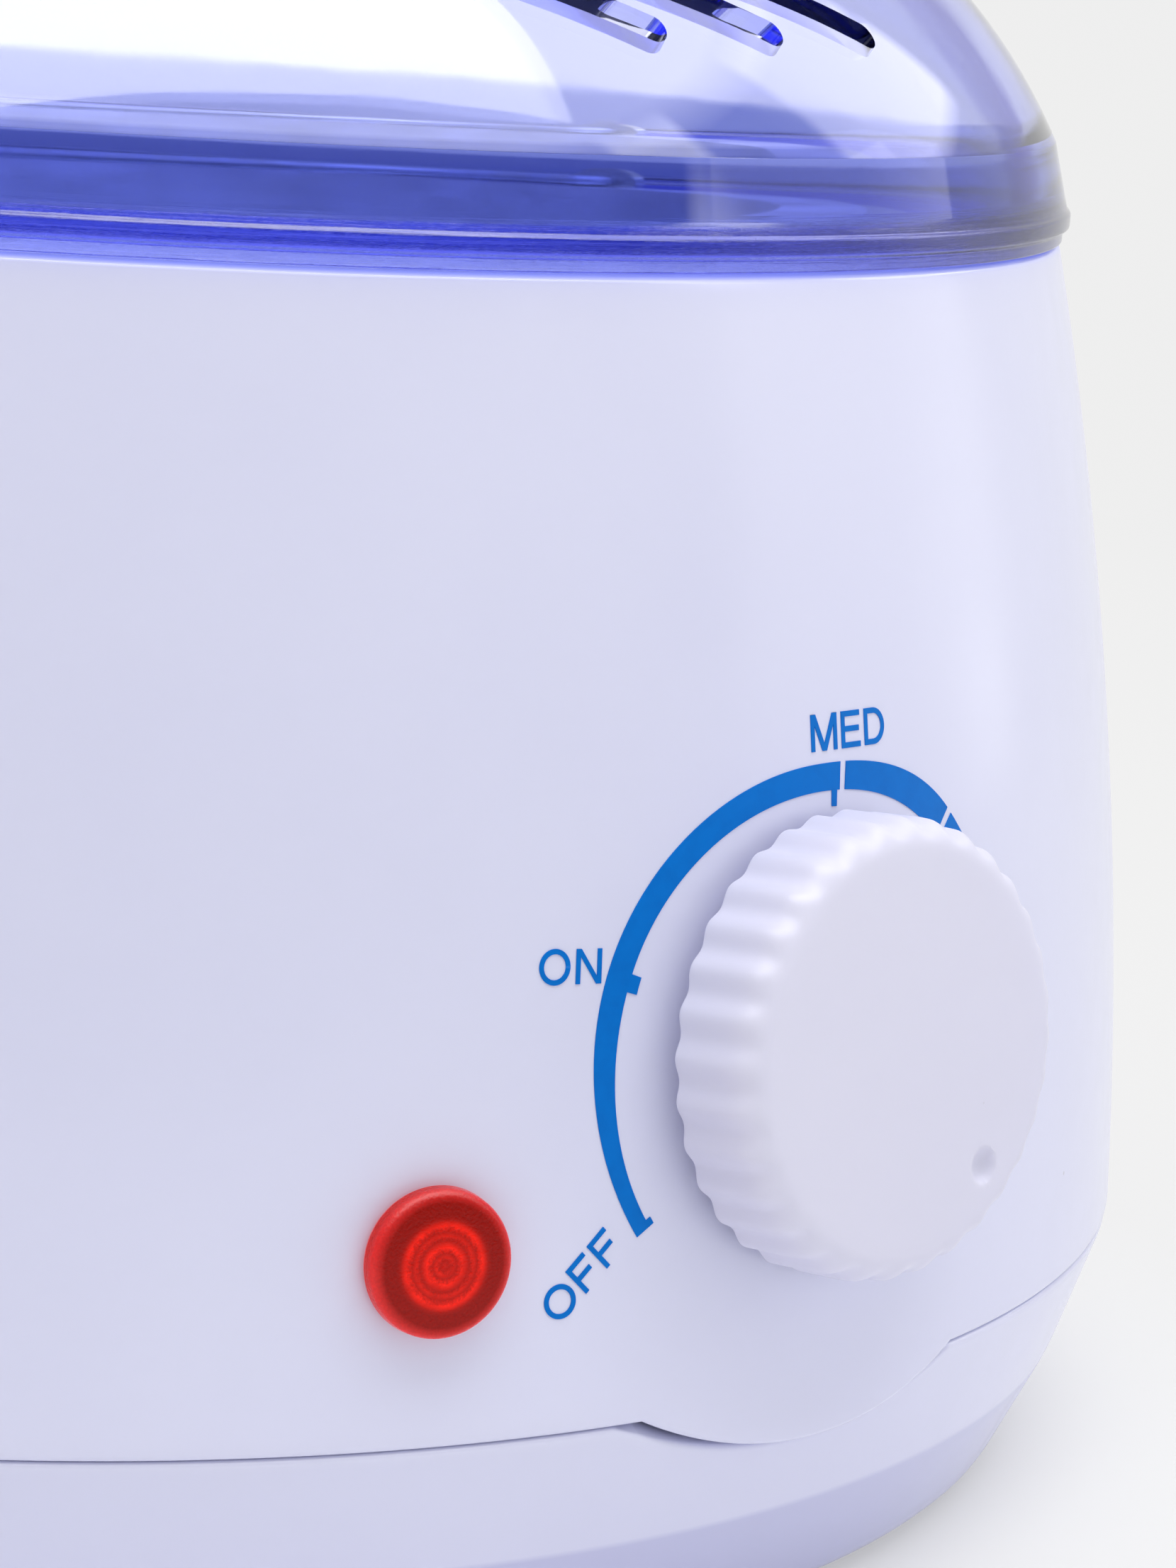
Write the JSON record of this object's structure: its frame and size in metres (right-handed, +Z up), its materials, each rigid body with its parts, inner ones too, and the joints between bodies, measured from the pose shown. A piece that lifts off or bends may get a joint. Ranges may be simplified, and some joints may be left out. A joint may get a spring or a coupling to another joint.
{
  "type": "paraffin wax bath",
  "caption": "Round tabletop wax bath: white tapered housing, heated aluminium well, lift-out pot with bail, tinted domed lid, dial thermostat and pilot lamp.",
  "frame": {"origin": "on the table under the body's axis, at the underside of the feet", "axes": "+Z up along the body's axis, the dial faces -Y, the cord inlet is at +Y, +X is to the right of someone facing the dial"},
  "size_m": [0.18, 0.1946, 0.1448],
  "materials": {
    "housing": "smooth glossy cool-white moulded plastic",
    "lid": "clear violet-blue tinted moulded plastic, polished",
    "knob": "white moulded plastic, semi-gloss",
    "well": "spun aluminium, satin",
    "pot": "drawn aluminium, brushed",
    "steel": "zinc-plated steel",
    "bail_wire": "plated steel wire",
    "silicone": "red-brown silicone",
    "red_lens": "clear red moulded lens with rings",
    "bulb_glass": "clear glass",
    "black_plastic": "black moulded plastic",
    "cream_plastic": "cream moulded plastic",
    "mica": "mica sheet",
    "fibre": "ceramic fibre felt",
    "fuse_shell": "bare metal shell",
    "brass": "brass",
    "foot_rubber": "black rubber",
    "brown_insulation": "wire insulation",
    "red_insulation": "wire insulation",
    "blue_insulation": "wire insulation"
  },
  "bodies": {
    "housing": {"upper_housing": "housing", "base_housing": "housing", "heating_well": "well", "well_gasket": "silicone", "well_screws": "steel", "thermostat_body": "black_plastic", "thermostat_nut": "steel", "lamp_lens": "red_lens", "lamp_bulb": "bulb_glass", "lamp_clip": "steel", "heater_disc": "mica", "insulation_disc": "fibre", "clamp_plate": "steel", "heater_stud": "steel", "heater_nut": "steel", "insulation_wrap": "fibre", "thermal_fuse": "fuse_shell", "fuse_clip": "steel", "terminal_block": "cream_plastic", "terminal_screws": "brass", "cord_gland": "black_plastic", "gland_nut": "black_plastic", "rubber_feet": "foot_rubber", "base_screws": "steel", "supply_wire": "brown_insulation", "fuse_wire": "red_insulation", "heater_link_wire": "red_insulation", "neutral_wire": "blue_insulation", "lamp_live_wire": "red_insulation", "lamp_neutral_wire": "blue_insulation"},
    "pot": {"wax_pot": "pot", "pot_ears": "steel"},
    "bail": {"pot_bail": "bail_wire"},
    "lid": {"lid": "lid"},
    "dial": {"knob": "knob", "thermostat_shaft": "steel"}
  },
  "joints": [
    {"name": "dial_turn", "type": "hinge", "parent": "housing", "child": "dial", "pos_m": [0, -0.08835, 0.044], "axis": [0, -0.995, 0.0998], "range_deg": [0, 253]},
    {"name": "pot_lift", "type": "slide", "parent": "housing", "child": "pot", "axis": [0, 0, 1], "range_m": [0, 0.11]},
    {"name": "lid_lift", "type": "slide", "parent": "pot", "child": "lid", "axis": [0, 0, 1], "range_m": [0, 0.12]},
    {"name": "bail_swing", "type": "hinge", "parent": "pot", "child": "bail", "pos_m": [0, 0, 0.0963], "axis": [1, 0, 0], "range_deg": [0, 180]}
  ]
}
